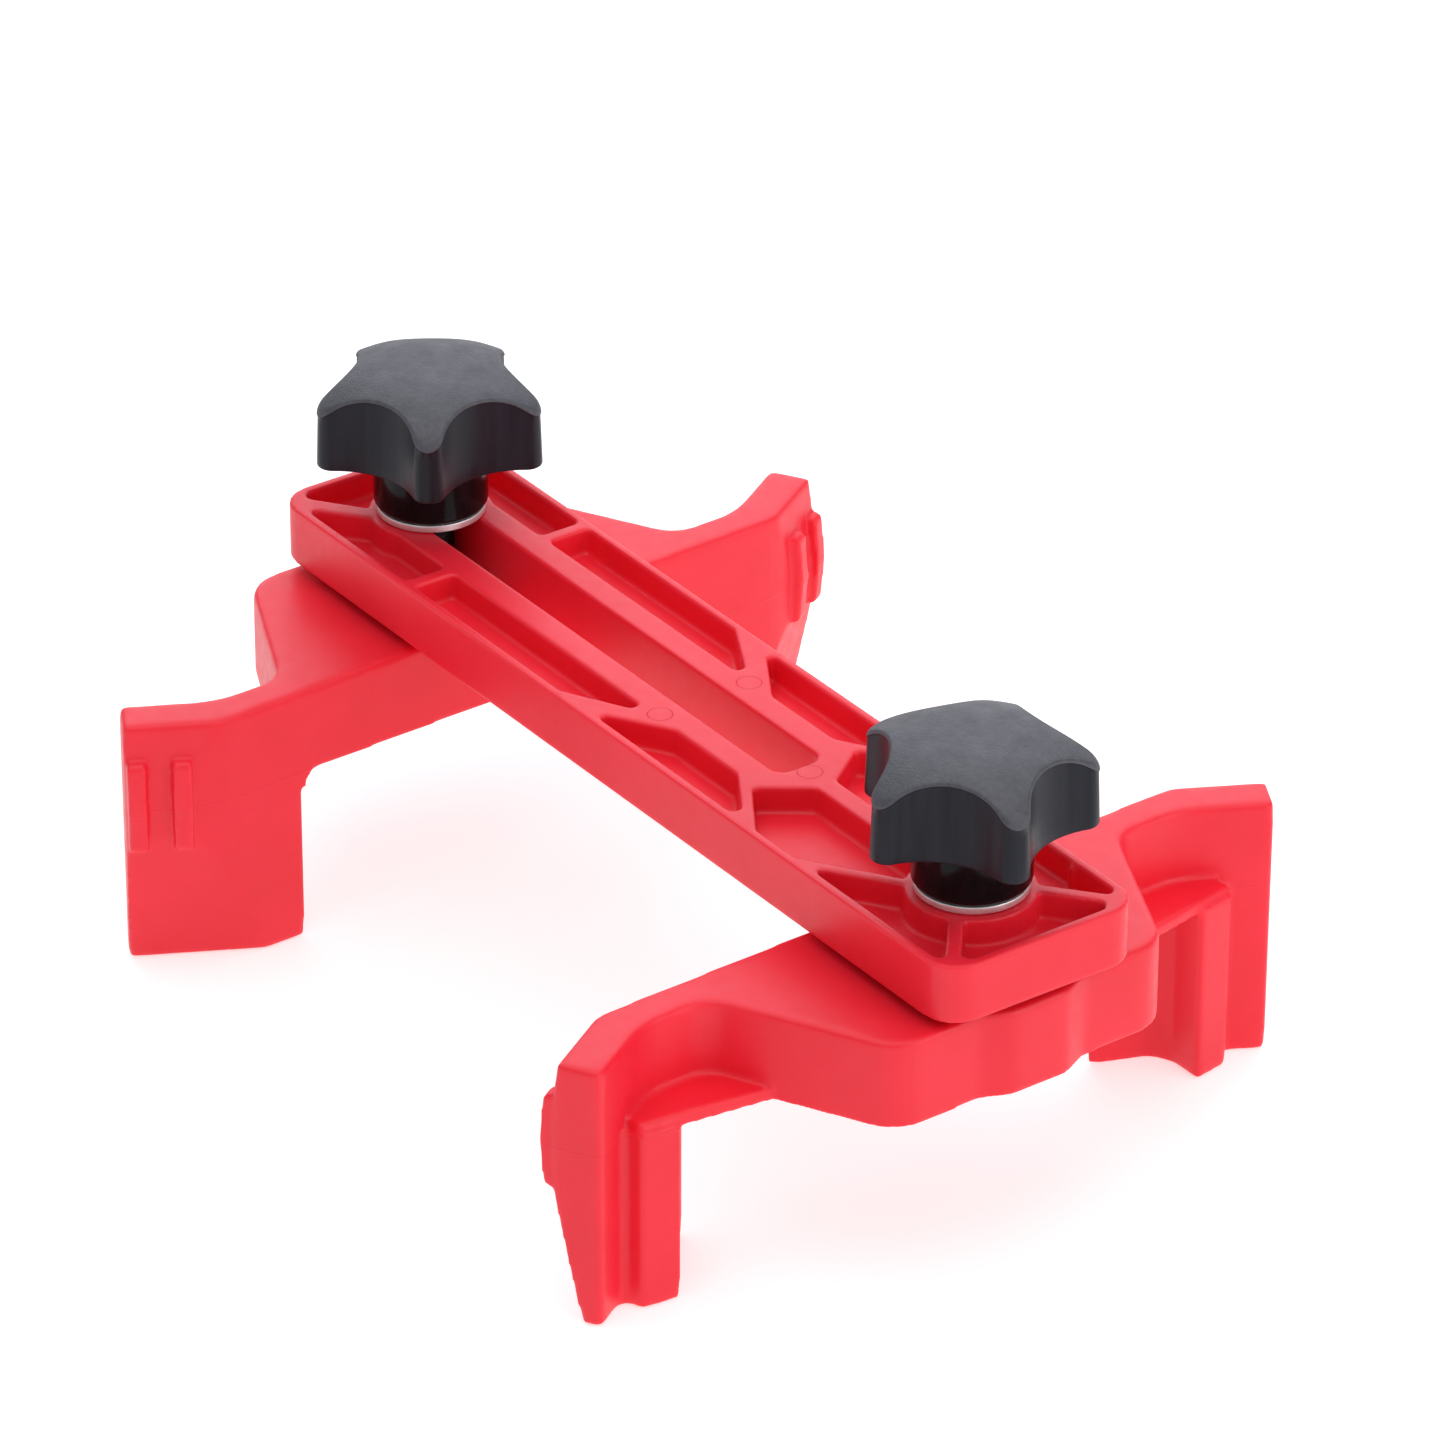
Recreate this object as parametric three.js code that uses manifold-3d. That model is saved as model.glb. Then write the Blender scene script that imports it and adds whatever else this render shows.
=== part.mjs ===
// Twin-jaw wheel clamp: a slotted, ribbed bar carries two long-armed jaws under it. Each jaw hangs on
// an M8 bolt that comes up through the bar into a star knob. Millimetres, +Z up, X along the bar.
// The outlines below are drawn with z = 0 on the bar's top face and x = 0 at DATUM; the whole clamp
// is then moved so that its origin is the middle of its footprint, on the surface it stands on.
import * as THREE from "three";
import { mergeVertices } from "three/addons/utils/BufferGeometryUtils.js";
import Module from "manifold-3d";

const wasm = await Module();
wasm.setup();

// Bar
const BAR_FAR_END = -121.2;
const BAR_NEAR_END = 70.2;
const BAR_WIDTH = 38.8;
const BAR_HEIGHT = 10.5;
const BAR_CORNER = 6;
const RIM = 1.8;
const WEB_TOP = -4.8;
const WEB_BOTTOM = -7;
const SLOT_FAR_END = -107;
const SLOT_NEAR_END = 5;
const SLOT_HALF = 4.5;
const SLOT_CORNER = 2.6;
const SLOT_BORDER = 9.8;
const BOSS_RADIUS = 10.8;

// Where the two bolts stand, and how the jaws are turned about them
const NEAR_X = 50.7;
const FAR_X = -102.4;
const NEAR_TURN = THREE.MathUtils.degToRad(1.7);
const FAR_TURN = THREE.MathUtils.degToRad(181.9);

// Stack on each bolt, downwards from the knob: washer, bar, spacer, jaw, bolt head
const GAP = 0.15;
const BORE_GAP = 0.3;
const WASHER_RADIUS = 9.4;
const WASHER_THICK = 1.3;
const SPACER_RADIUS = 11;
const SPACER_THICK = 1.5;
const BOLT_RADIUS = 4;
const BOLT_LENGTH = 35;
const HEAD_FLATS = 13;
const HEAD_HEIGHT = 5.3;
const CLEARANCE_HOLE = BOLT_RADIUS + BORE_GAP;

// Jaw, in its own frame: the bolt is the Z axis, the back is towards -X, the arms run along Y
const JAW_TOP = -BAR_HEIGHT - GAP - SPACER_THICK - GAP;
const JAW_DEPTH = 15.6;
const JAW_BOTTOM = JAW_TOP - JAW_DEPTH;
const FOOT = JAW_TOP - 47.5;
const BACK = -20.8;
const BACK_END = 61;
const BACK_BEND = 22;
const CRANK = THREE.MathUtils.degToRad(30);
const CRANK_OUTER = new THREE.Vector2(-13.75, 73.2);
const CRANK_INNER = new THREE.Vector2(-5.9, 68.7);
const ARM_INNER = -14;
const HUB_FRONT = 16;
const HUB_NOSE = 18.4;
const SHELF_THICK = 2.3;
const HEAD_SEAT = JAW_TOP - 8;
const CORE_ROOF = JAW_TOP - 3;

// Star knob
const LOBES = 5;
const TIP_RADIUS = 20;
const TIP_ROUND = 2.8;
const SCALLOP_CENTRE = 27.6;
const KNOB_BOTTOM = GAP + WASHER_THICK + GAP;
const GRIP_BOTTOM = 11.4;
const CROWN_TOP = 27.3;
const CROWN_DROP = 5.2;
const CROWN_POWER = 3;
const NECK_RADIUS = 9.8;
const INSERT_RADIUS = 6;
const INSERT_TOP = 16;
const NEAR_KNOB_TURN = THREE.MathUtils.degToRad(-16.2);
const FAR_KNOB_TURN = THREE.MathUtils.degToRad(-34.6);

const ARC_STEP = THREE.MathUtils.degToRad(15);
const WIDE_ARC_STEP = THREE.MathUtils.degToRad(7.5);
const WIDE_ARC = 10;
const ROUND_SEGMENTS = 32;
const BORE_SIDES = 24;
const TIP_STEPS = 8;
const SCALLOP_STEPS = 10;
const CROWN_STEPS = 8;
const CROWN_EDGE = TIP_RADIUS + 2;
const THROUGH = 1;
const SLAB = 100;

// A closed outline from [x, y, radius] corners: each corner is rounded by an arc of its radius.
function rounded(corners) {
  const points = [];
  corners.forEach(([x, y, radius = 0], index) => {
    const corner = new THREE.Vector2(x, y);
    if (radius === 0) {
      points.push(corner);
      return;
    }
    const before = corners[(index + corners.length - 1) % corners.length];
    const after = corners[(index + 1) % corners.length];
    const back = new THREE.Vector2(before[0], before[1]).sub(corner).normalize();
    const ahead = new THREE.Vector2(after[0], after[1]).sub(corner).normalize();
    const half = Math.acos(THREE.MathUtils.clamp(back.dot(ahead), -1, 1)) / 2;
    const inward = back.clone().add(ahead).normalize();
    const centre = corner.clone().addScaledVector(inward, radius / Math.sin(half));
    const start = corner.clone().addScaledVector(back, radius / Math.tan(half)).sub(centre).angle();
    const end = corner.clone().addScaledVector(ahead, radius / Math.tan(half)).sub(centre).angle();
    const sweep = THREE.MathUtils.euclideanModulo(end - start + Math.PI, 2 * Math.PI) - Math.PI;
    const arcStep = radius > WIDE_ARC ? WIDE_ARC_STEP : ARC_STEP;
    const steps = Math.max(1, Math.ceil(Math.abs(sweep) / arcStep));
    for (let step = 0; step <= steps; step += 1) {
      const angle = start + (sweep * step) / steps;
      const spoke = new THREE.Vector2(radius, 0).rotateAround(new THREE.Vector2(), angle);
      points.push(spoke.add(centre));
    }
  });
  return points;
}

function prism(points, low, high) {
  const options = { depth: high - low, bevelEnabled: false };
  return new THREE.ExtrudeGeometry(new THREE.Shape(points), options).translate(0, 0, low);
}

function cylinder(radius, low, high, sides = ROUND_SEGMENTS) {
  const geometry = new THREE.CylinderGeometry(radius, radius, high - low, sides);
  return geometry.rotateX(Math.PI / 2).translate(0, 0, (low + high) / 2);
}

function hexagon(flats, low, high) {
  return cylinder(flats / 2 / Math.cos(Math.PI / 6), low, high, 6);
}

function toSolid(geometry) {
  const bare = geometry.clone();
  bare.deleteAttribute("normal");
  bare.deleteAttribute("uv");
  const welded = mergeVertices(bare, 1e-4);
  const mesh = new wasm.Mesh({
    numProp: 3,
    vertProperties: new Float32Array(welded.attributes.position.array),
    triVerts: new Uint32Array(welded.index.array),
  });
  return new wasm.Manifold(mesh);
}

function combine(base, added, removed) {
  let solid = toSolid(base);
  for (const piece of added) {
    solid = solid.add(toSolid(piece));
  }
  for (const piece of removed) {
    solid = solid.subtract(toSolid(piece));
  }
  return solid;
}

function toGeometry(solid) {
  const result = solid.getMesh();
  const geometry = new THREE.BufferGeometry();
  geometry.setAttribute("position", new THREE.BufferAttribute(result.vertProperties, 3));
  geometry.setIndex(new THREE.BufferAttribute(result.triVerts, 1));
  geometry.computeVertexNormals();
  return geometry;
}

function mirrored(corners) {
  return corners.map(([x, y, radius]) => [x, -y, radius]).reverse();
}

function surface(color, roughness, metalness) {
  return () => new THREE.MeshStandardMaterial({ color, roughness, metalness });
}

const redPlastic = surface(0xe6303f, 0.45, 0);
const blackPlastic = surface(0x2a2d33, 0.55, 0);
const zincSteel = surface(0xc9c9cf, 0.3, 1);
const blackSteel = surface(0x26272b, 0.4, 1);
const brass = surface(0xc9a452, 0.35, 1);

function part(name, geometry, material) {
  const mesh = new THREE.Mesh(geometry, material);
  mesh.name = name;
  return mesh;
}

// The bar is cored out from above and below, which leaves a rim, a web and diagonal ribs. The pockets
// of the half y < 0 are listed, and the other half mirrors them.
const RIM_Y = BAR_WIDTH / 2 - RIM;
const RIM_NEAR = BAR_NEAR_END - RIM;
const RIM_FAR = BAR_FAR_END + RIM;
const halfPockets = [
  [[-114.6, -RIM_Y, 0.8], [-83.6, -RIM_Y, 1], [-83.6, -SLOT_BORDER, 1], [-104.6, -SLOT_BORDER, 1]],
  [[-81, -RIM_Y, 1], [-38.1, -RIM_Y, 1.4], [-23.6, -SLOT_BORDER, 1], [-81, -SLOT_BORDER, 1]],
  [[-29.1, -RIM_Y, 0.8], [13.2, -RIM_Y, 1.2], [0.8, -SLOT_BORDER, 1.4], [-16.4, -SLOT_BORDER, 1.6]],
  [[5.9, -10.4, 1.2], [17, -RIM_Y, 1.2], [27.6, -RIM_Y, 1], [50, -2.4], [50, -2], [12, -2, 1.6]],
  [[31.4, -RIM_Y, 0.8], [66.9, -RIM_Y, 1], [50.7, -4.2]],
];
const endPockets = [
  [[RIM_NEAR, -15.6, 1.6], [RIM_NEAR, 15.6, 1.6], [49.6, 0]],
  [[RIM_FAR, -16.6, 1.6], [-96.9, 0], [RIM_FAR, 16.6, 1.6]],
];

function barGeometry() {
  const half = BAR_WIDTH / 2;
  const outline = rounded([
    [BAR_FAR_END, -half, BAR_CORNER],
    [BAR_NEAR_END, -half, BAR_CORNER],
    [BAR_NEAR_END, half, BAR_CORNER],
    [BAR_FAR_END, half, BAR_CORNER],
  ]);
  const slot = rounded([
    [SLOT_FAR_END, -SLOT_HALF, SLOT_CORNER],
    [SLOT_NEAR_END, -SLOT_HALF, SLOT_CORNER],
    [SLOT_NEAR_END, SLOT_HALF, SLOT_CORNER],
    [SLOT_FAR_END, SLOT_HALF, SLOT_CORNER],
  ]);
  const pockets = [...halfPockets, ...halfPockets.map(mirrored), ...endPockets];
  const levels = [[WEB_TOP, THROUGH], [-BAR_HEIGHT - THROUGH, WEB_BOTTOM]];
  let cores = null;
  for (const [low, high] of levels) {
    for (const pocket of pockets) {
      const core = toSolid(prism(rounded(pocket), low, high));
      cores = cores ? cores.add(core) : core;
    }
  }
  for (const x of [FAR_X, NEAR_X]) {
    const boss = cylinder(BOSS_RADIUS, -BAR_HEIGHT - 2 * THROUGH, 2 * THROUGH).translate(x, 0, 0);
    cores = cores.subtract(toSolid(boss));
  }
  const hole = cylinder(CLEARANCE_HOLE, -BAR_HEIGHT - THROUGH, THROUGH).translate(NEAR_X, 0, 0);
  const openings = [prism(slot, -BAR_HEIGHT - THROUGH, THROUGH), hole];
  const bar = combine(prism(outline, -BAR_HEIGHT, 0), [], openings);
  return toGeometry(bar.subtract(cores));
}

// Jaw outline seen from above, for y > 0: from the back round the cranked arm end to the hub's front.
const halfJaw = [
  [BACK, BACK_END, BACK_BEND],
  [CRANK_OUTER.x, CRANK_OUTER.y, 1.6],
  [CRANK_INNER.x, CRANK_INNER.y, 1],
  [ARM_INNER, 54.6, 16],
  [ARM_INNER, 42, 6],
  [HUB_FRONT, 27, 8],
  [HUB_FRONT, 10.4, 5],
  [HUB_NOSE, 5.4, 5],
];
// Leg section for y > 0: the cranked wall with the upright tooth that grips between a wheel's teeth.
const halfLeg = [
  [BACK, 41.3, 0.5],
  [BACK + 2, 43.7, 0.5],
  [-15.5, 51.6, 2],
  [-12.1, 53.4, 1.5],
  [-5.2, 53.3, 0.5],
  [-6.2, 60.4, 0.5],
  [-9, 61.4, 0.5],
  [-9.4, 62.8, 1.5],
  [CRANK_INNER.x, CRANK_INNER.y, 1],
  [CRANK_OUTER.x, CRANK_OUTER.y, 1.6],
  [BACK, BACK_END, BACK_BEND],
];
const halfShelf = [[-18, 34], [HUB_FRONT - 8, 28], [-3.4, 36.6], [-7.2, 60.4, 0.5], [-18, 60.4]];
// Hollows moulded into the hub from below, for y > 0, with a spoke between them
const halfHollows = [
  [[-18, 12, 1], [-18, 37, 1], [-8, 34.6, 1], [-8, 12, 1]],
  [[-5.6, 12, 1], [-5.6, 33.4, 1], [5, 27.8, 1], [5, 12, 1]],
  [[7.4, 12, 1], [7.4, 26.8, 1], [13.4, 22.6, 2], [13.4, 12, 1]],
];
// Ribs on the cranked face: places along it from its end, and heights below the jaw's top
const NUB_PLACES = [2, 9.6];
const NUB_WIDTH = 3.2;
const NUB_PROUD = 1.8;
const NUB_EDGE = 1.2;
const NUB_ROOT = 2;
const NUB_TOP = JAW_TOP - 6.3;
const NUB_BOTTOM = JAW_TOP - 23.3;
const NUB_CHAMFER = 0.7;
// Drafts of the cranked face: it leans in above the jaw's underside, and again towards the foot
const DRAFT_DEPTH = 1.3;
const DRAFT_HEIGHT = JAW_DEPTH;
const TAPER_DEPTH = 5.5;
const TAPER_TOP = JAW_TOP - 20.7;
const TAPER_HEIGHT = TAPER_TOP - FOOT;
const FILLET = 3;
const FILLET_Y = 41.4;
const FILLET_WIDTH = 1.8;
const FILLET_ROOT = 2;
const FILLET_STEPS = 6;

function bothSides(make) {
  return [make(1), make(-1)];
}

function sided(corners, side) {
  return side > 0 ? corners : mirrored(corners);
}

// The way out of the cranked face, for either arm.
function crankNormal(side) {
  return new THREE.Vector3(-Math.cos(CRANK), side * Math.sin(CRANK), 0);
}

// Small upright ribs on the outside of the cranked arm end, chamfered at both ends.
function nubs() {
  return NUB_PLACES.flatMap((place) => bothSides((side) => {
    const profile = [
      new THREE.Vector2(-NUB_ROOT, NUB_BOTTOM),
      new THREE.Vector2(NUB_EDGE - NUB_CHAMFER, NUB_BOTTOM),
      new THREE.Vector2(NUB_EDGE, NUB_BOTTOM + NUB_CHAMFER),
      new THREE.Vector2(NUB_PROUD, (NUB_BOTTOM + NUB_TOP) / 2),
      new THREE.Vector2(NUB_EDGE, NUB_TOP - NUB_CHAMFER),
      new THREE.Vector2(NUB_EDGE - NUB_CHAMFER, NUB_TOP),
      new THREE.Vector2(-NUB_ROOT, NUB_TOP),
    ];
    const options = { depth: NUB_WIDTH, bevelEnabled: false };
    const rib = new THREE.ExtrudeGeometry(new THREE.Shape(profile), options);
    rib.translate(0, 0, -NUB_WIDTH / 2);
    const face = crankNormal(side);
    const up = new THREE.Vector3(0, 0, 1);
    const across = new THREE.Vector3().crossVectors(face, up);
    const turn = new THREE.Matrix4().makeBasis(face, up, across);
    const x = CRANK_OUTER.x - place * Math.sin(CRANK);
    const y = CRANK_OUTER.y - place * Math.cos(CRANK);
    return rib.applyMatrix4(turn).translate(x, side * y, 0);
  }));
}

// A slab whose face cuts the cranked face along a slanted plane: from height z the plane leans in by
// depth over rise, downwards if rise is negative.
function leaningCut(side, z, depth, rise) {
  const lean = Math.atan(depth / rise);
  const normal = crankNormal(side).multiplyScalar(Math.cos(lean));
  normal.z = Math.sin(lean);
  const turn = new THREE.Quaternion().setFromUnitVectors(new THREE.Vector3(0, 0, 1), normal);
  const middle = new THREE.Vector3(CRANK_OUTER.x, side * CRANK_OUTER.y, z);
  middle.addScaledVector(normal, SLAB / 2);
  const slab = new THREE.BoxGeometry(SLAB, SLAB, SLAB).applyQuaternion(turn);
  return slab.translate(middle.x, middle.y, middle.z);
}

function taper(side) {
  return leaningCut(side, TAPER_TOP, TAPER_DEPTH, -TAPER_HEIGHT);
}

function draft(side) {
  return leaningCut(side, JAW_BOTTOM, DRAFT_DEPTH, DRAFT_HEIGHT);
}

// The rounded inside corner where each arm's underside meets its leg.
function armFillet(side) {
  const profile = [new THREE.Vector2(FILLET_ROOT, THROUGH), new THREE.Vector2(-FILLET, THROUGH)];
  for (let step = 0; step <= FILLET_STEPS; step += 1) {
    const angle = ((Math.PI / 2) * step) / FILLET_STEPS;
    const reach = FILLET * (1 - Math.sin(angle));
    profile.push(new THREE.Vector2(-reach, -FILLET * (1 - Math.cos(angle))));
  }
  profile.push(new THREE.Vector2(FILLET_ROOT, -FILLET));
  const options = { depth: FILLET_WIDTH, bevelEnabled: false };
  const wedge = new THREE.ExtrudeGeometry(new THREE.Shape(profile), options);
  const turn = new THREE.Matrix4().makeBasis(
    new THREE.Vector3(0, side, 0),
    new THREE.Vector3(0, 0, 1),
    new THREE.Vector3(side, 0, 0),
  );
  wedge.applyMatrix4(turn);
  return wedge.translate(side > 0 ? BACK : BACK + FILLET_WIDTH, side * FILLET_Y, JAW_BOTTOM);
}

function jawGeometry() {
  const outline = rounded([...halfJaw, ...mirrored(halfJaw)]);
  const legs = bothSides((side) => prism(rounded(sided(halfLeg, side)), FOOT, JAW_BOTTOM + THROUGH));
  const shelfTop = JAW_BOTTOM + SHELF_THICK;
  const shelves = bothSides((side) => prism(rounded(sided(halfShelf, side)), JAW_BOTTOM, shelfTop));
  const added = [...legs, ...shelves, ...bothSides(armFillet)];
  const hollows = halfHollows.flatMap((corners) =>
    bothSides((side) => prism(rounded(sided(corners, side)), JAW_BOTTOM - THROUGH, CORE_ROOF)));
  const removed = [
    ...hollows,
    ...bothSides(taper),
    ...bothSides(draft),
    cylinder(CLEARANCE_HOLE, JAW_BOTTOM, JAW_TOP + THROUGH),
    hexagon(HEAD_FLATS + 2 * BORE_GAP, JAW_BOTTOM - THROUGH, HEAD_SEAT),
  ];
  const body = combine(prism(outline, JAW_BOTTOM, JAW_TOP), added, removed);
  let jaw = body;
  for (const rib of nubs()) {
    jaw = jaw.add(toSolid(rib));
  }
  return toGeometry(jaw);
}

function boltGeometry() {
  const headTop = HEAD_SEAT - GAP;
  const head = hexagon(HEAD_FLATS, headTop - HEAD_HEIGHT, headTop);
  const shank = cylinder(BOLT_RADIUS, headTop - THROUGH, headTop + BOLT_LENGTH, BORE_SIDES);
  return toGeometry(combine(head, [shank], []));
}

function ringGeometry(outer, inner, low, high) {
  const profile = [
    new THREE.Vector2(inner, low),
    new THREE.Vector2(outer, low),
    new THREE.Vector2(outer, high),
    new THREE.Vector2(inner, high),
    new THREE.Vector2(inner, low),
  ];
  return new THREE.LatheGeometry(profile, ROUND_SEGMENTS).rotateX(Math.PI / 2);
}

// Star outline: round lobe tips joined by hollow arcs, each tangent to the next.
function starOutline() {
  const pitch = (2 * Math.PI) / LOBES;
  const tip = new THREE.Vector2(TIP_RADIUS - TIP_ROUND, 0);
  const hollow = new THREE.Vector2(SCALLOP_CENTRE, 0).rotateAround(new THREE.Vector2(), pitch / 2);
  const span = hollow.clone().sub(tip);
  const hollowRadius = span.length() - TIP_ROUND;
  const lean = span.angle();
  const points = [];
  const arc = (centre, radius, start, end, steps, turn) => {
    for (let step = 0; step < steps; step += 1) {
      const angle = start + ((end - start) * step) / steps;
      const point = new THREE.Vector2(radius, 0).rotateAround(new THREE.Vector2(), angle).add(centre);
      points.push(point.rotateAround(new THREE.Vector2(), turn));
    }
  };
  for (let lobe = 0; lobe < LOBES; lobe += 1) {
    arc(tip, TIP_ROUND, -lean, lean, TIP_STEPS, lobe * pitch);
    arc(hollow, hollowRadius, lean + Math.PI, pitch + Math.PI - lean, SCALLOP_STEPS, lobe * pitch);
  }
  return points;
}

// A round plug whose top is flat in the middle and falls away towards the tips: what lies inside it
// is kept.
function crown() {
  const low = GRIP_BOTTOM - THROUGH;
  const profile = [new THREE.Vector2(0, low), new THREE.Vector2(CROWN_EDGE, low)];
  for (let step = CROWN_STEPS; step >= 0; step -= 1) {
    const radius = (CROWN_EDGE * step) / CROWN_STEPS;
    const drop = CROWN_DROP * (radius / TIP_RADIUS) ** CROWN_POWER;
    profile.push(new THREE.Vector2(radius, CROWN_TOP - drop));
  }
  profile.push(profile[0].clone());
  return new THREE.LatheGeometry(profile, ROUND_SEGMENTS).rotateX(Math.PI / 2);
}

function gripGeometry(turn) {
  const star = toSolid(prism(starOutline(), GRIP_BOTTOM, CROWN_TOP + THROUGH).rotateZ(turn));
  const neck = toSolid(cylinder(NECK_RADIUS, KNOB_BOTTOM, GRIP_BOTTOM + THROUGH));
  const boreTop = INSERT_TOP + BORE_GAP;
  const bore = cylinder(INSERT_RADIUS + BORE_GAP, KNOB_BOTTOM - THROUGH, boreTop, BORE_SIDES);
  return toGeometry(star.intersect(toSolid(crown())).add(neck).subtract(toSolid(bore)));
}

// One clamp point: the pieces on a bolt, with the jaw turned about it.
function clampPoint(prefix, jawTurn, knobTurn) {
  const point = new THREE.Group();
  const jaw = part(`${prefix}_jaw`, jawGeometry(), redPlastic());
  const bolt = part(`${prefix}_bolt`, boltGeometry(), blackSteel());
  for (const piece of [jaw, bolt]) {
    piece.rotation.z = jawTurn;
    point.add(piece);
  }
  const spacerTop = -BAR_HEIGHT - GAP;
  const spacer = ringGeometry(SPACER_RADIUS, CLEARANCE_HOLE, spacerTop - SPACER_THICK, spacerTop);
  point.add(part(`${prefix}_spacer_washer`, spacer, zincSteel()));
  const washer = ringGeometry(WASHER_RADIUS, CLEARANCE_HOLE, GAP, GAP + WASHER_THICK);
  point.add(part(`${prefix}_knob_washer`, washer, zincSteel()));
  const insert = ringGeometry(INSERT_RADIUS, CLEARANCE_HOLE, KNOB_BOTTOM, INSERT_TOP);
  point.add(part(`${prefix}_knob_insert`, insert, brass()));
  point.add(part(`${prefix}_knob_grip`, gripGeometry(knobTurn), blackPlastic()));
  return point;
}

const clamp = new THREE.Group();
clamp.add(part("slotted_bar", barGeometry(), redPlastic()));
const nearPoint = clampPoint("near", NEAR_TURN, NEAR_KNOB_TURN);
nearPoint.position.x = NEAR_X;
clamp.add(nearPoint);
const farPoint = clampPoint("far", FAR_TURN, FAR_KNOB_TURN);
farPoint.position.x = FAR_X;
clamp.add(farPoint);

clamp.updateMatrixWorld(true);
const extent = new THREE.Box3().setFromObject(clamp, true);
const middle = extent.getCenter(new THREE.Vector3());
clamp.position.set(-middle.x, -middle.y, -extent.min.z);

export default clamp;
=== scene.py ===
"""A twin-jaw clamp for toothed timing wheels: red bar and jaws, charcoal star knobs, metal hardware."""
import math

import bmesh
import bpy
import numpy as np
from mathutils import Matrix, Vector


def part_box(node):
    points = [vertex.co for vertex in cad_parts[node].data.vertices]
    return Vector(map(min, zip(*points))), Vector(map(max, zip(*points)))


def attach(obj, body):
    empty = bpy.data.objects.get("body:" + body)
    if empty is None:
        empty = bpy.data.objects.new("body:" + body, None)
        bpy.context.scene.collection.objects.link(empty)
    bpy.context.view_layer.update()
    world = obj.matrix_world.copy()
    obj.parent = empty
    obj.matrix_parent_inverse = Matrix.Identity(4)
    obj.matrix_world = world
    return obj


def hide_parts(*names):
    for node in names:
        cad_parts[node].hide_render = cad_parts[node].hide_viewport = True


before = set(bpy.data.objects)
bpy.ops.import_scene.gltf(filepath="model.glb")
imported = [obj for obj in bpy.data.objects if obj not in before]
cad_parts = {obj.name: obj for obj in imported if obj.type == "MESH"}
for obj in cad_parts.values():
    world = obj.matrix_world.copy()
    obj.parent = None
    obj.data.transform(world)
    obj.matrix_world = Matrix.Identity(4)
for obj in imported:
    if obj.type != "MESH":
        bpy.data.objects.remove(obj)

MM = 0.001
TURN = 2 * math.pi

# Camera
CAMERA_AZIMUTH = math.radians(54.3)
CAMERA_ELEVATION = math.radians(29.98)
CAMERA_ROLL = math.radians(0.18)
CAMERA_DISTANCE = 1.385
CAMERA_TARGET = Vector((0.0122, -0.0022, 0.0598))
CAMERA_LENS = 211.25
SENSOR_WIDTH = 36.0
CLIP_END = 20.0

# Stage and light; each softbox is (name, azimuth, elevation, distance, size, power, colour)
FLOOR_HALF = 4.0
FLOOR_GLOW = 0.55
WORLD_LIGHT = 0.5
SOFTBOXES = (
    ("overhead", 54, 80, 1.2, 1.4, 7.5, (1.0, 0.99, 0.98)),
    ("back", 234, 35, 1.5, 1.6, 12.0, (0.88, 0.9, 1.0)),
    ("right", 112, 20, 1.3, 0.8, 4.5, (1.0, 0.98, 1.0)),
)

# Moulded parts; the places of the pin marks and of the wall rib are in millimetres
EVEN_WEIGHT = 0.5
BAR_VOXEL = 0.38 * MM
BAR_ROUNDS = 4
JAW_VOXEL = 0.42 * MM
JAW_ROUNDS = 4
JAW_END_ROUNDS = 18
JAW_END_DEPTH = 2.0 * MM
PARTING_LINE = 31.9 * MM
PARTING_WIDTH = 0.16 * MM
PIN_MARKS = ((4.1, 9.0), (4.1, -9.0), (33.4, 0.0))
PIN_RADIUS = 2.1 * MM
PIN_LINE = 0.13 * MM
WALL_RIB = (80.5, 17.5)
WALL_RIB_RADIUS = 0.8 * MM
WALL_RIB_LENGTH = 5 * MM
WALL_RIB_DEPTH = 3.4 * MM
WALL_RIB_SIDES = 24

# Star knob, in millimetres, with its heights above the bar's top face
LOBES = 5
TIP_RADIUS = 20.0
TIP_ROUND = 2.8
SCALLOP_CENTRE = 27.6
TIP_STEPS = 18
SCALLOP_STEPS = 30
KNOB_LOW = 1.6
NECK_RADIUS = 9.8
NECK_EDGE = 1.0
GRIP_LOW = 11.4
GRIP_DRAFT = 0.01
CROWN_TOP = 27.3
CROWN_DROP = 5.2
CROWN_POWER = 3.0
TIP_EDGE = 1.1
SCALLOP_EDGE = 0.45
CROWN_LIP = 0.16
FOOT_EDGE = 0.35
BORE_RADIUS = 6.3
BORE_TOP = 16.3
NECK_STEPS = 4
FOOT_STEPS = 3
SIDE_STEPS = 6
EDGE_STEPS = 8
CROWN_RINGS = 16
GRIP_CREASE = math.radians(38)
KNOB_TURNS = {"near": math.radians(-16.2), "far": math.radians(-34.6)}

# Washers, spacers and knob inserts
ROUND_STEPS = 96
RING_HOLE_RADIUS = 4.3 * MM
RING_EDGE = 0.22 * MM
RING_CREASE = math.radians(35)
TURNING_PITCH = 0.22 * MM

# Bolts; the two face values are shares of half the width across the flats
BOLT_RADIUS = 4 * MM
HEX_FLATS = 13 * MM
HEAD_HEIGHT = 5.3 * MM
HEAD_CHAMFER = 0.9 * MM
HEAD_FACE = 0.93
HEAD_FACE_ROUND = 0.97
HEAD_FACE_EDGE = 0.12 * MM
HEAD_TOP_EDGE = 0.3 * MM
HEAD_FILLET = 0.25 * MM
THREAD_PITCH = 1.25 * MM
THREAD_DEPTH = 0.62 * MM
THREAD_STEPS = 24
THREADLESS_LENGTH = 2 * MM
THREAD_START = HEAD_HEIGHT + 1.5 * MM
THREAD_TIP = 0.8 * MM
TIP_TAPER = 0.2 * MM
BOLT_CREASE = math.radians(30)

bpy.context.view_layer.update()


# Small node-tree helpers

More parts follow.
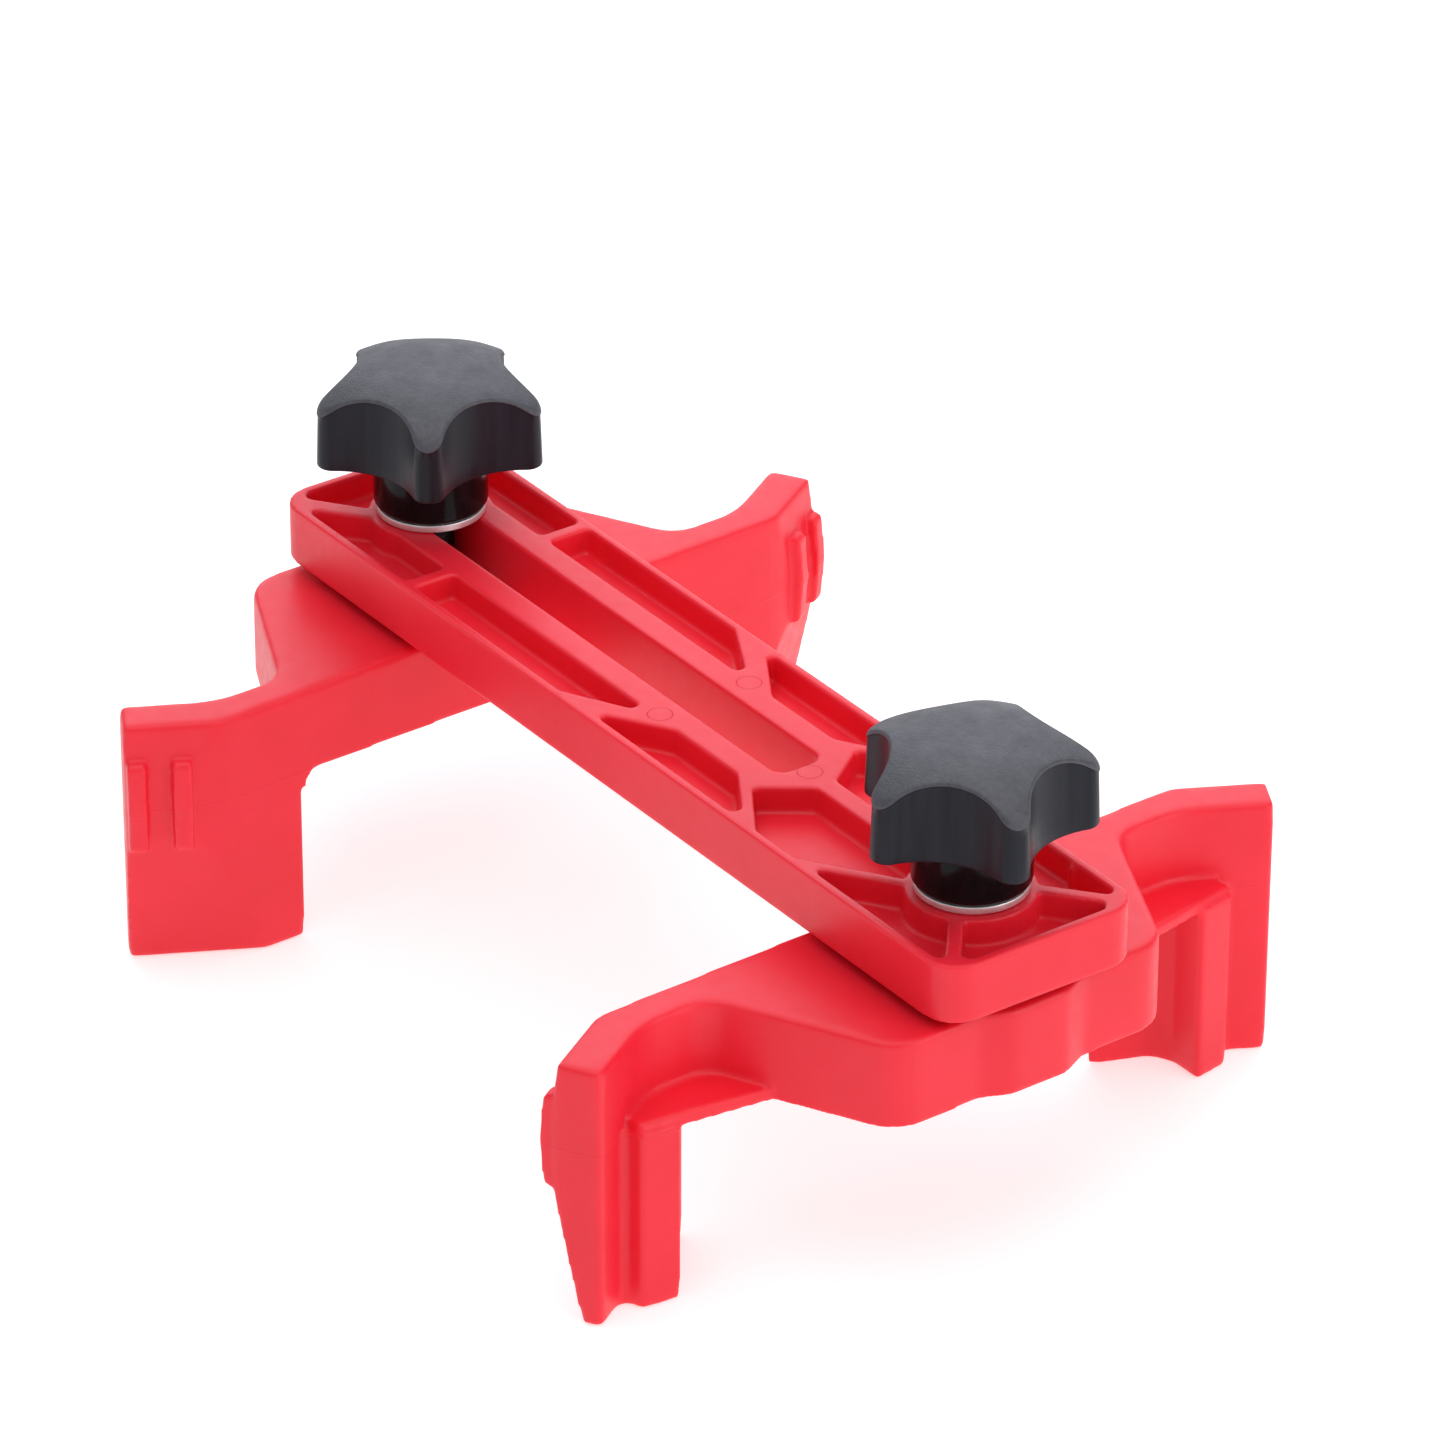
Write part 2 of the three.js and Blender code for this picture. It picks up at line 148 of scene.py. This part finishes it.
def new_material(name):
    material = bpy.data.materials.new(name)
    material.use_nodes = True
    tree = material.node_tree
    return material, tree, tree.nodes["Principled BSDF"]


def add_node(tree, kind, **values):
    node = tree.nodes.new(kind)
    for key, value in values.items():
        setattr(node, key, value)
    return node


def noise(tree, coordinates, scale, detail=3.0, roughness=0.5):
    node = add_node(tree, "ShaderNodeTexNoise")
    node.inputs["Scale"].default_value = scale
    node.inputs["Detail"].default_value = detail
    node.inputs["Roughness"].default_value = roughness
    tree.links.new(coordinates, node.inputs["Vector"])
    return node.outputs["Fac"]


def ramp(tree, factor, stops):
    node = add_node(tree, "ShaderNodeValToRGB")
    elements = node.color_ramp.elements
    while len(elements) < len(stops):
        elements.new(0.5)
    for element, (place, colour) in zip(elements, stops):
        element.position = place
        element.color = (*colour, 1.0)
    tree.links.new(factor, node.inputs["Fac"])
    return node.outputs["Color"]


def remap(tree, value, low, high, to_low, to_high):
    node = add_node(tree, "ShaderNodeMapRange")
    for name, number in (("From Min", low), ("From Max", high), ("To Min", to_low), ("To Max", to_high)):
        node.inputs[name].default_value = number
    tree.links.new(value, node.inputs["Value"])
    return node.outputs["Result"]


def arithmetic(tree, operation, first, second):
    node = add_node(tree, "ShaderNodeMath", operation=operation)
    for socket, value in zip(node.inputs, (first, second)):
        if isinstance(value, (int, float)):
            socket.default_value = value
        else:
            tree.links.new(value, socket)
    return node.outputs["Value"]


def bump(tree, height, distance, strength, below=None):
    node = add_node(tree, "ShaderNodeBump")
    node.inputs["Distance"].default_value = distance
    node.inputs["Strength"].default_value = strength
    tree.links.new(height, node.inputs["Height"])
    if below is not None:
        tree.links.new(below, node.inputs["Normal"])
    return node.outputs["Normal"]


def object_coordinates(tree):
    return add_node(tree, "ShaderNodeTexCoord").outputs["Object"]


# Materials

def seam_line(tree, value, place, width, on_line, off_line):
    """A height that changes from off_line to on_line where value comes near place."""
    distance = arithmetic(tree, "ABSOLUTE", arithmetic(tree, "SUBTRACT", value, place), 0.0)
    return remap(tree, distance, 0.0, width, on_line, off_line)


def pin_mark(tree, place, centre):
    """The round seam that an ejector pin leaves in a moulding."""
    shifted = add_node(tree, "ShaderNodeVectorMath", operation="SUBTRACT")
    shifted.inputs[1].default_value = (centre[0] * MM, centre[1] * MM, 0.0)
    tree.links.new(place, shifted.inputs[0])
    level = add_node(tree, "ShaderNodeVectorMath", operation="MULTIPLY")
    level.inputs[1].default_value = (1.0, 1.0, 0.0)
    tree.links.new(shifted.outputs["Vector"], level.inputs[0])
    length = add_node(tree, "ShaderNodeVectorMath", operation="LENGTH")
    tree.links.new(level.outputs["Vector"], length.inputs[0])
    return seam_line(tree, length.outputs["Value"], PIN_RADIUS, PIN_LINE, 0.0, 1.0)


def red_plastic(name, seam):
    """Satin moulded nylon: a little light goes into it, with flow clouds, a fine skin and mould seams."""
    material, tree, shader = new_material(name)
    place = object_coordinates(tree)
    clouds = noise(tree, place, 55.0, 4.0)
    colour = ramp(tree, clouds, [(0.3, (0.79, 0.013, 0.031)), (0.7, (0.85, 0.017, 0.041))])
    tree.links.new(colour, shader.inputs["Base Color"])
    rough = remap(tree, noise(tree, place, 420.0, 5.0), 0.3, 0.7, 0.36, 0.46)
    tree.links.new(rough, shader.inputs["Roughness"])
    shader.inputs["Subsurface Weight"].default_value = 0.35
    shader.inputs["Subsurface Radius"].default_value = (1.0, 0.12, 0.1)
    shader.inputs["Subsurface Scale"].default_value = 0.003
    shader.inputs["Specular IOR Level"].default_value = 0.4
    skin = bump(tree, noise(tree, place, 1900.0, 2.0), 0.00003, 0.5)
    waves = bump(tree, noise(tree, place, 130.0, 2.0), 0.0001, 0.35, skin)
    tree.links.new(bump(tree, seam(tree, place), 0.00012, 0.8, waves), shader.inputs["Normal"])
    return material


def bar_seam(tree, place):
    marks = [pin_mark(tree, place, centre) for centre in PIN_MARKS]
    return arithmetic(tree, "MINIMUM", arithmetic(tree, "MINIMUM", marks[0], marks[1]), marks[2])


def jaw_seam(tree, place):
    split = add_node(tree, "ShaderNodeSeparateXYZ")
    tree.links.new(place, split.inputs["Vector"])
    return seam_line(tree, split.outputs["Z"], PARTING_LINE, PARTING_WIDTH, 0.5, 0.0)


def crown_plastic():
    """Charcoal plastic with the fine even grain of an eroded mould; its colour is painted lighter than the
    flutes', as painted light on the top.
    """
    material, tree, shader = new_material("knob_crown_painted_light")
    place = object_coordinates(tree)
    colour = ramp(tree, noise(tree, place, 900.0, 4.0), [
        (0.35, (0.022, 0.023, 0.034)),
        (0.65, (0.036, 0.037, 0.053)),
    ])
    tree.links.new(colour, shader.inputs["Base Color"])
    rough = remap(tree, noise(tree, place, 260.0, 3.0), 0.3, 0.7, 0.46, 0.58)
    tree.links.new(rough, shader.inputs["Roughness"])
    grain = bump(tree, noise(tree, place, 2000.0, 3.0, 0.7), 0.00014, 1.0)
    tree.links.new(grain, shader.inputs["Normal"])
    shader.inputs["Specular IOR Level"].default_value = 0.85
    return material


def side_plastic():
    """The smoother flutes, with faint upright streaks from the mould."""
    material, tree, shader = new_material("knob_side")
    place = object_coordinates(tree)
    stretch = add_node(tree, "ShaderNodeMapping")
    stretch.inputs["Scale"].default_value = (1.0, 1.0, 0.08)
    tree.links.new(place, stretch.inputs["Vector"])
    streaks = noise(tree, stretch.outputs["Vector"], 520.0, 4.0)
    colour = ramp(tree, streaks, [(0.3, (0.009, 0.010, 0.014)), (0.7, (0.017, 0.018, 0.026))])
    tree.links.new(colour, shader.inputs["Base Color"])
    rough = remap(tree, streaks, 0.3, 0.7, 0.30, 0.44)
    tree.links.new(rough, shader.inputs["Roughness"])
    grain = bump(tree, noise(tree, place, 1800.0, 3.0, 0.7), 0.00004, 0.5)
    tree.links.new(bump(tree, streaks, 0.00008, 0.5, grain), shader.inputs["Normal"])
    shader.inputs["Specular IOR Level"].default_value = 0.16
    return material


def neck_plastic():
    """The same plastic where the mould is polished, its colour painted darker than the flutes', as painted
    shade under the star.
    """
    material, tree, shader = new_material("knob_polished_and_painted_shade")
    place = object_coordinates(tree)
    colour = ramp(tree, noise(tree, place, 300.0), [
        (0.3, (0.004, 0.004, 0.005)),
        (0.7, (0.008, 0.008, 0.009)),
    ])
    tree.links.new(colour, shader.inputs["Base Color"])
    rough = remap(tree, noise(tree, place, 500.0, 3.0), 0.3, 0.7, 0.08, 0.16)
    tree.links.new(rough, shader.inputs["Roughness"])
    shader.inputs["Specular IOR Level"].default_value = 0.12
    return material


def turned_metal(name, dark, light, roughness):
    """Metal with fine turning rings about the piece's own upright axis."""
    material, tree, shader = new_material(name)
    place = object_coordinates(tree)
    split = add_node(tree, "ShaderNodeSeparateXYZ")
    tree.links.new(place, split.inputs["Vector"])
    across = arithmetic(tree, "POWER", split.outputs["X"], 2.0)
    along = arithmetic(tree, "POWER", split.outputs["Y"], 2.0)
    radius = arithmetic(tree, "SQRT", arithmetic(tree, "ADD", across, along), 0.0)
    rings = arithmetic(tree, "SINE", arithmetic(tree, "MULTIPLY", radius, TURN / TURNING_PITCH), 0.0)
    shader.inputs["Metallic"].default_value = 0.8
    colour = ramp(tree, noise(tree, place, 380.0, 4.0), [(0.3, dark), (0.7, light)])
    tree.links.new(colour, shader.inputs["Base Color"])
    rough = remap(tree, noise(tree, place, 700.0, 3.0), 0.3, 0.7, roughness - 0.06, roughness + 0.08)
    tree.links.new(rough, shader.inputs["Roughness"])
    fine = bump(tree, noise(tree, place, 2200.0, 2.0), 0.00002, 0.4)
    tree.links.new(bump(tree, rings, 0.00001, 0.5, fine), shader.inputs["Normal"])
    return material


def floor_material():
    material, tree, shader = new_material("pale_floor")
    place = object_coordinates(tree)
    colour = ramp(tree, noise(tree, place, 3.0), [(0.3, (0.66, 0.66, 0.66)), (0.7, (0.69, 0.69, 0.69))])
    tree.links.new(colour, shader.inputs["Base Color"])
    shader.inputs["Roughness"].default_value = 0.7
    shader.inputs["Specular IOR Level"].default_value = 0.2
    shader.inputs["Emission Color"].default_value = (1.0, 1.0, 1.0, 1.0)
    shader.inputs["Emission Strength"].default_value = FLOOR_GLOW
    return material


# Mesh helpers

def add_object(name, mesh, place=(0, 0, 0)):
    piece = bpy.data.objects.new(name, mesh)
    piece.location = place
    bpy.context.scene.collection.objects.link(piece)
    return piece


def mesh_from_rings(name, rings, materials, closed=False):
    """Skins rings of equally many points into a closed surface; each ring gives its strip's material."""
    count = len(rings[0][0])
    vertices = [point for points, _ in rings for point in points]
    faces = []
    slots = []
    strips = len(rings) if closed else len(rings) - 1
    for strip in range(strips):
        low = strip * count
        high = (strip + 1) % len(rings) * count
        for index in range(count):
            after = (index + 1) % count
            faces.append((low + index, low + after, high + after, high + index))
            slots.append(rings[strip][1])
    if not closed:
        faces.append(tuple(range(count - 1, -1, -1)))
        slots.append(rings[0][1])
        faces.append(tuple((len(rings) - 1) * count + index for index in range(count)))
        slots.append(rings[-1][1])
    mesh = bpy.data.meshes.new(name)
    mesh.from_pydata(vertices, [], faces)
    for material in materials:
        mesh.materials.append(material)
    mesh.polygons.foreach_set("material_index", slots)
    mesh.update()
    return mesh


def face_outward(mesh):
    work = bmesh.new()
    work.from_mesh(mesh)
    bmesh.ops.recalc_face_normals(work, faces=work.faces)
    work.to_mesh(mesh)
    work.free()


def shade(mesh, angle=None):
    """Smooth shading, with creases sharper than angle kept."""
    mesh.shade_smooth()
    if angle is not None:
        mesh.set_sharp_from_angle(angle=angle)


def circle(radius, z):
    angles = [TURN * step / ROUND_STEPS for step in range(ROUND_STEPS)]
    return [(radius * math.cos(a), radius * math.sin(a), z) for a in angles]


def place_piece(piece, body, node):
    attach(piece, body)
    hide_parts(node)


def axis_of(prefix):
    """The upright line through a clamp point's bolt."""
    low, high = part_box(f"{prefix}_bolt")
    return (low[0] + high[0]) / 2, (low[1] + high[1]) / 2


# Moulded bar and jaws

def voxel_skin(node, voxel, extra=None):
    """The CAD solid's surface as an even fine mesh, with an extra body joined to it if one is given."""
    work = add_object("work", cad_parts[node].data.copy())
    if extra is not None:
        joined = bmesh.new()
        joined.from_mesh(work.data)
        extra(joined)
        joined.to_mesh(work.data)
        joined.free()
    remesh = work.modifiers.new("remesh", "REMESH")
    remesh.mode = "VOXEL"
    remesh.voxel_size = voxel
    depsgraph = bpy.context.evaluated_depsgraph_get()
    mesh = bpy.data.meshes.new_from_object(work.evaluated_get(depsgraph))
    bpy.data.objects.remove(work)
    return mesh


def soften(mesh, weights, rounds):
    """Moves each point towards the middle of its neighbours, by its weight, again and again."""
    count = len(mesh.vertices)
    points = np.empty(count * 3)
    mesh.vertices.foreach_get("co", points)
    points = points.reshape(-1, 3)
    edges = np.empty(len(mesh.edges) * 2, dtype=np.int64)
    mesh.edges.foreach_get("vertices", edges)
    first, second = edges.reshape(-1, 2).T
    shares = np.bincount(first, minlength=count) + np.bincount(second, minlength=count)
    strength = weights(points)[:, None]
    for _ in range(rounds):
        total = np.zeros_like(points)
        for axis in range(3):
            total[:, axis] += np.bincount(first, points[second, axis], count)
            total[:, axis] += np.bincount(second, points[first, axis], count)
        points += strength * (total / shares[:, None] - points)
    mesh.vertices.foreach_set("co", points.ravel())
    mesh.update()


def evenly(points):
    return np.full(len(points), EVEN_WEIGHT)


def finish_moulding(mesh, material):
    mesh.materials.clear()
    mesh.materials.append(material)
    shade(mesh)


def make_bar(bar_top):
    def wall_rib(joined):
        """A small upright half-round rib inside the rim, next to the fixed bolt."""
        bmesh.ops.create_cone(
            joined,
            cap_ends=True,
            segments=WALL_RIB_SIDES,
            radius1=WALL_RIB_RADIUS,
            radius2=WALL_RIB_RADIUS,
            depth=WALL_RIB_LENGTH,
            matrix=Matrix.Translation((WALL_RIB[0] * MM, WALL_RIB[1] * MM, bar_top - WALL_RIB_DEPTH)),
        )

    mesh = voxel_skin("slotted_bar", BAR_VOXEL, wall_rib)
    soften(mesh, evenly, BAR_ROUNDS)
    finish_moulding(mesh, red_plastic("bar_red", bar_seam))
    place_piece(add_object("moulded_bar", mesh), "bar", "slotted_bar")


def make_jaw(prefix, material):
    node = f"{prefix}_jaw"
    mesh = voxel_skin(node, JAW_VOXEL)
    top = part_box(node)[1][2]

    def near_ends(points):
        """The edges at the top and at the feet are rounder than the others."""
        depth = np.minimum(top - points[:, 2], points[:, 2])
        return EVEN_WEIGHT * np.clip(2 - depth / JAW_END_DEPTH, 0, 1)

    soften(mesh, evenly, JAW_ROUNDS)
    soften(mesh, near_ends, JAW_END_ROUNDS)
    finish_moulding(mesh, material)
    place_piece(add_object(f"{node}_moulding", mesh), node, node)


# Star knob

def star_samples():
    """Samples round the star: (centre, direction, radius, side), with side -1 on tips and 1 in hollows."""
    pitch = TURN / LOBES
    tip = np.array((TIP_RADIUS - TIP_ROUND, 0.0))
    hollow = SCALLOP_CENTRE * np.array((math.cos(pitch / 2), math.sin(pitch / 2)))
    span = hollow - tip
    lean = math.atan2(span[1], span[0])
    hollow_radius = float(np.hypot(*span)) - TIP_ROUND
    arcs = (
        (tip, TIP_ROUND, -lean, lean, TIP_STEPS, -1),
        (hollow, hollow_radius, lean + math.pi, pitch + math.pi - lean, SCALLOP_STEPS, 1),
    )
    samples = []
    for lobe in range(LOBES):
        turn = lobe * pitch
        cos, sin = math.cos(turn), math.sin(turn)
        for centre, radius, start, end, steps, side in arcs:
            middle = (cos * centre[0] - sin * centre[1], sin * centre[0] + cos * centre[1])
            for step in range(steps):
                angle = turn + start + (end - start) * step / steps
                samples.append((middle, (math.cos(angle), math.sin(angle)), radius, side))
    return samples


def crown_height(radius):
    return CROWN_TOP - CROWN_DROP * (radius / TIP_RADIUS) ** CROWN_POWER


def grip_mesh(name, materials):
    """The grip in its own frame: bore, neck, underside, fluted side, soft edge and crown, ring by ring."""
    samples = star_samples()
    draft = GRIP_DRAFT * (CROWN_TOP - GRIP_LOW)
    # The grained crown slot is painted lighter and the polished neck slot painted darker: painted light
    # and painted shade on one plastic.
    grained, polished, smooth = 0, 1, 2

    def outline_point(sample, inset):
        middle, direction, radius, side = sample
        reach = radius + side * inset
        return middle[0] + direction[0] * reach, middle[1] + direction[1] * reach

    def star_ring(inset, z):
        return [(*outline_point(sample, inset), z) for sample in samples]

    def round_ring(radius, z):
        angles = [math.atan2(y, x) for x, y, _ in star_ring(0, z)]
        return [(radius * math.cos(a), radius * math.sin(a), z) for a in angles]

    valley = min(math.hypot(x, y) for x, y, _ in star_ring(0, 0))

    def edge_size(sample):
        x, y = outline_point(sample, 0)
        share = (math.hypot(x, y) - valley) / (TIP_RADIUS - valley)
        return SCALLOP_EDGE + (TIP_EDGE - SCALLOP_EDGE) * share ** 3

    rings = [
        (round_ring(BORE_RADIUS, BORE_TOP), smooth),
        (round_ring(BORE_RADIUS, KNOB_LOW + NECK_EDGE), smooth),
        (round_ring(BORE_RADIUS + NECK_EDGE, KNOB_LOW), polished),
        (round_ring(NECK_RADIUS - NECK_EDGE, KNOB_LOW), polished),
    ]
    for step in range(1, NECK_STEPS + 1):
        angle = math.pi / 2 * step / NECK_STEPS
        radius = NECK_RADIUS - NECK_EDGE * (1 - math.sin(angle))
        rings.append((round_ring(radius, KNOB_LOW + NECK_EDGE * (1 - math.cos(angle))), polished))
    rings.append((round_ring(NECK_RADIUS, GRIP_LOW - NECK_EDGE), polished))
    rings.append((round_ring(NECK_RADIUS + NECK_EDGE, GRIP_LOW), smooth))
    for step in range(FOOT_STEPS + 1):
        angle = math.pi / 2 * step / FOOT_STEPS
        inset = FOOT_EDGE * (1 - math.sin(angle))
        rings.append((star_ring(inset, GRIP_LOW + FOOT_EDGE * (1 - math.cos(angle))), smooth))

    edges = [edge_size(sample) for sample in samples]
    for step in range(1, SIDE_STEPS + 1):
        ring = []
        for sample, edge in zip(samples, edges):
            high = crown_height(math.hypot(*outline_point(sample, 0))) - edge - CROWN_LIP
            z = GRIP_LOW + FOOT_EDGE + (high - GRIP_LOW - FOOT_EDGE) * step / SIDE_STEPS
            inset = (draft + CROWN_LIP) * step / SIDE_STEPS
            ring.append((*outline_point(sample, inset), z))
        rings.append((ring, smooth))
    for step in range(EDGE_STEPS + 1):
        angle = math.pi / 2 * step / EDGE_STEPS
        ring = []
        for sample, edge in zip(samples, edges):
            x, y = outline_point(sample, draft + edge * (1 - math.cos(angle)))
            ring.append((x, y, crown_height(math.hypot(x, y)) - edge * (1 - math.sin(angle))))
        rings.append((ring, grained))
    rim = rings[-1][0]
    for step in range(1, CROWN_RINGS):
        share = 1 - step / CROWN_RINGS
        ring = [(x * share, y * share, crown_height(math.hypot(x, y) * share)) for x, y, _ in rim]
        rings.append((ring, grained))

    scaled = [([(x * MM, y * MM, z * MM) for x, y, z in points], slot) for points, slot in rings]
    mesh = mesh_from_rings(name, scaled, materials)
    face_outward(mesh)
    shade(mesh, GRIP_CREASE)
    return mesh


def make_grip(prefix, materials, bar_top):
    name = f"{prefix}_grip_star"
    mesh = grip_mesh(name, materials)
    mesh.transform(Matrix.Rotation(KNOB_TURNS[prefix], 4, "Z"))
    piece = add_object(name, mesh, (*axis_of(prefix), bar_top))
    place_piece(piece, f"{prefix}_knob", f"{prefix}_knob_grip")


# Hardware

def lathe(name, profile, material):
    """Turns a closed (radius, z) profile about the upright axis."""
    rings = [(circle(radius, z), 0) for radius, z in profile]
    mesh = mesh_from_rings(name, rings, [material], closed=True)
    face_outward(mesh)
    shade(mesh, RING_CREASE)
    return mesh


def ring_profile(outer, height):
    """Profile of a flat ring whose four edges are rounded."""
    inner_middle = RING_HOLE_RADIUS + RING_EDGE
    outer_middle = outer - RING_EDGE
    high_middle = height - RING_EDGE
    corners = (
        (inner_middle, RING_EDGE, 180),
        (outer_middle, RING_EDGE, 270),
        (outer_middle, high_middle, 0),
        (inner_middle, high_middle, 90),
    )
    profile = []
    for radius, z, start in corners:
        for turned in (0, 30, 60, 90):
            angle = math.radians(start + turned)
            profile.append((radius + RING_EDGE * math.cos(angle), z + RING_EDGE * math.sin(angle)))
    return profile


def make_ring(prefix, node, body, material):
    low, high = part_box(node)
    profile = ring_profile((high[0] - low[0]) / 2, high[2] - low[2])
    piece = add_object(f"{node}_turned", lathe(node, profile, material), (*axis_of(prefix), low[2]))
    place_piece(piece, body, node)


def hex_ring(limit, z):
    """A hexagon with its corners cut off at the radius given by limit."""
    points = []
    for step in range(ROUND_STEPS):
        angle = TURN * step / ROUND_STEPS
        side = (angle % (TURN / 6)) - TURN / 12
        reach = min(HEX_FLATS / 2 / math.cos(side), limit)
        points.append((reach * math.cos(angle), reach * math.sin(angle), z))
    return points


def thread_ring(z):
    """A round of the shank at height z, where the helix runs in over the thread's first turn."""
    turns_up = (z - THREAD_START) / THREAD_PITCH
    fade = min(1.0, turns_up)
    points = []
    for step in range(ROUND_STEPS):
        angle = TURN * step / ROUND_STEPS
        phase = (turns_up - angle / TURN) % 1.0
        reach = BOLT_RADIUS - THREAD_DEPTH * fade * (1 - abs(2 * phase - 1))
        points.append((reach * math.cos(angle), reach * math.sin(angle), z))
    return points


def make_bolt(prefix, material):
    """Hexagon head with a chamfered lower face, and a shank with a real helical thread."""
    node = f"{prefix}_bolt"
    low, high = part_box(node)
    length = high[2] - low[2]
    corner = HEX_FLATS / 2 / math.cos(math.pi / 6)
    rings = [
        hex_ring(HEX_FLATS / 2 * HEAD_FACE, 0.0),
        hex_ring(HEX_FLATS / 2 * HEAD_FACE_ROUND, HEAD_FACE_EDGE),
        hex_ring(corner, HEAD_CHAMFER),
        hex_ring(corner, HEAD_HEIGHT - HEAD_TOP_EDGE),
        hex_ring(corner - HEAD_TOP_EDGE, HEAD_HEIGHT),
        circle(BOLT_RADIUS + HEAD_FILLET, HEAD_HEIGHT),
        circle(BOLT_RADIUS, HEAD_HEIGHT + HEAD_FILLET),
        circle(BOLT_RADIUS, THREAD_START),
    ]
    steps_up = int((length - HEAD_HEIGHT - THREADLESS_LENGTH) / THREAD_PITCH * THREAD_STEPS)
    for step in range(1, steps_up + 1):
        rings.append(thread_ring(THREAD_START + (length - THREAD_START - THREAD_TIP) * step / steps_up))
    rings.append(circle(BOLT_RADIUS - THREAD_DEPTH - TIP_TAPER, length))
    mesh = mesh_from_rings(node, [(ring, 0) for ring in rings], [material])
    face_outward(mesh)
    shade(mesh, BOLT_CREASE)
    piece = add_object(f"{node}_threaded", mesh, (*axis_of(prefix), low[2]))
    place_piece(piece, f"{prefix}_jaw", node)


# Stage

def make_stage():
    floor_mesh = bpy.data.meshes.new("floor")
    corners = [(x * FLOOR_HALF, y * FLOOR_HALF, 0) for x, y in ((-1, -1), (1, -1), (1, 1), (-1, 1))]
    floor_mesh.from_pydata(corners, [], [(0, 1, 2, 3)])
    floor_mesh.materials.append(floor_material())
    floor = add_object("floor", floor_mesh)


def view_direction(azimuth, elevation):
    """The way a camera at this azimuth and elevation looks: azimuth 0 looks along +Y."""
    level = math.cos(elevation)
    return Vector((-math.sin(azimuth) * level, math.cos(azimuth) * level, -math.sin(elevation)))


def make_camera():
    data = bpy.data.cameras.new("camera")
    data.lens = CAMERA_LENS
    data.sensor_width = SENSOR_WIDTH
    data.clip_end = CLIP_END
    camera = bpy.data.objects.new("camera", data)
    look = view_direction(CAMERA_AZIMUTH, CAMERA_ELEVATION)
    camera.location = CAMERA_TARGET - look * CAMERA_DISTANCE
    camera.rotation_euler = look.to_track_quat("-Z", "Y").to_euler()
    camera.rotation_euler.rotate_axis("Z", CAMERA_ROLL)
    bpy.context.scene.collection.objects.link(camera)
    bpy.context.scene.camera = camera


def add_softbox(name, azimuth, elevation, distance, size, power, colour):
    """A square light aimed at the clamp from where a camera at this azimuth and elevation would stand."""
    data = bpy.data.lights.new(name, "AREA")
    data.size = size
    data.energy = power
    data.color = colour
    light = bpy.data.objects.new(name, data)
    look = view_direction(math.radians(azimuth), math.radians(elevation))
    light.location = CAMERA_TARGET - look * distance
    light.rotation_euler = look.to_track_quat("-Z", "Y").to_euler()
    bpy.context.scene.collection.objects.link(light)


def make_lights():
    world = bpy.data.worlds.new("studio")
    world.use_nodes = True
    background = world.node_tree.nodes["Background"]
    background.inputs["Color"].default_value = (1.0, 1.0, 1.0, 1.0)
    background.inputs["Strength"].default_value = WORLD_LIGHT
    bpy.context.scene.world = world
    for softbox in SOFTBOXES:
        add_softbox(*softbox)
    bpy.context.scene.view_settings.view_transform = "Standard"


def main():
    make_camera()
    make_lights()
    make_stage()
    bar_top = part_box("slotted_bar")[1][2]
    jaw_red = red_plastic("jaw_red", jaw_seam)
    zinc = turned_metal("zinc_steel", (0.70, 0.68, 0.70), (0.82, 0.80, 0.82), 0.42)
    black_oxide = turned_metal("black_oxide", (0.020, 0.020, 0.023), (0.035, 0.035, 0.040), 0.34)
    brass = turned_metal("insert_brass", (0.66, 0.48, 0.2), (0.78, 0.6, 0.3), 0.3)
    knob_materials = [crown_plastic(), neck_plastic(), side_plastic()]
    make_bar(bar_top)
    for prefix in ("near", "far"):
        make_jaw(prefix, jaw_red)
        make_grip(prefix, knob_materials, bar_top)
        make_bolt(prefix, black_oxide)
        washer_body = "bar" if prefix == "near" else "far_washer"
        make_ring(prefix, f"{prefix}_knob_washer", washer_body, zinc)
        make_ring(prefix, f"{prefix}_spacer_washer", f"{prefix}_spacer", zinc)
        make_ring(prefix, f"{prefix}_knob_insert", f"{prefix}_knob", brass)


main()
